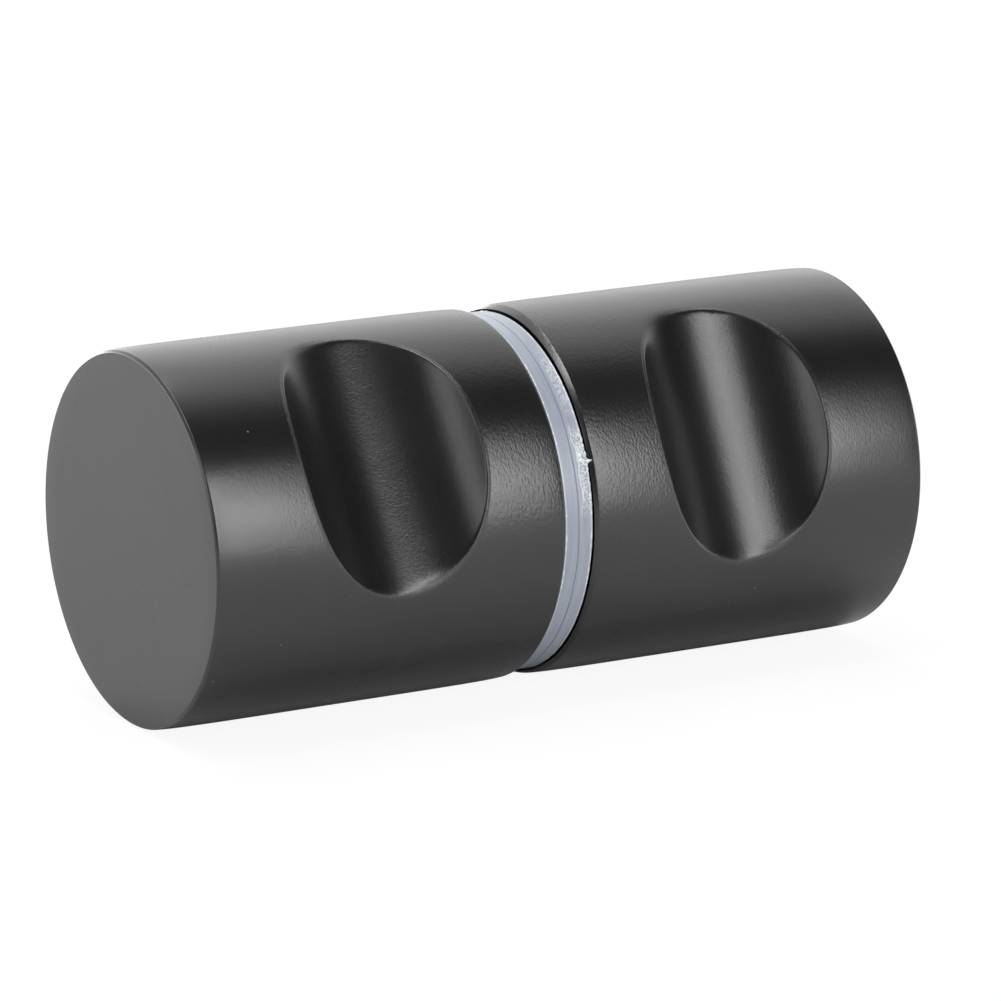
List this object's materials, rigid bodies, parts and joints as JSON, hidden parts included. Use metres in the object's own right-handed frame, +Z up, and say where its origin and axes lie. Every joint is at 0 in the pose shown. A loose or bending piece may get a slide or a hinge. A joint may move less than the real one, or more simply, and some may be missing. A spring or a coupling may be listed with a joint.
{
  "type": "shower door handle",
  "caption": "Back-to-back pair of round satin black shower door knobs with opposed finger scoops, joined by a threaded stud through clear gaskets.",
  "frame": {"origin": "on the axis of the stud, on the plane where the two gaskets meet, which the glass takes once the handle is fitted", "axes": "+X along the stud from the outer knob to the inner knob, square to the glass; +Z up; +Y level, away from the side the picture shows"},
  "size_m": [0.0642, 0.03, 0.03],
  "materials": {
    "outer_knob": "satin black, fine blasted texture",
    "inner_knob": "satin black, fine blasted texture",
    "outer_gasket": "clear soft plastic, faintly blue",
    "inner_gasket": "clear soft plastic, faintly blue",
    "stud": "zinc-plated, bright",
    "bush": "clear plastic"
  },
  "bodies": {
    "root": {"outer_knob": "outer_knob", "inner_knob": "inner_knob", "outer_gasket": "outer_gasket", "inner_gasket": "inner_gasket", "stud": "stud", "bush": "bush"}
  },
  "joints": []
}
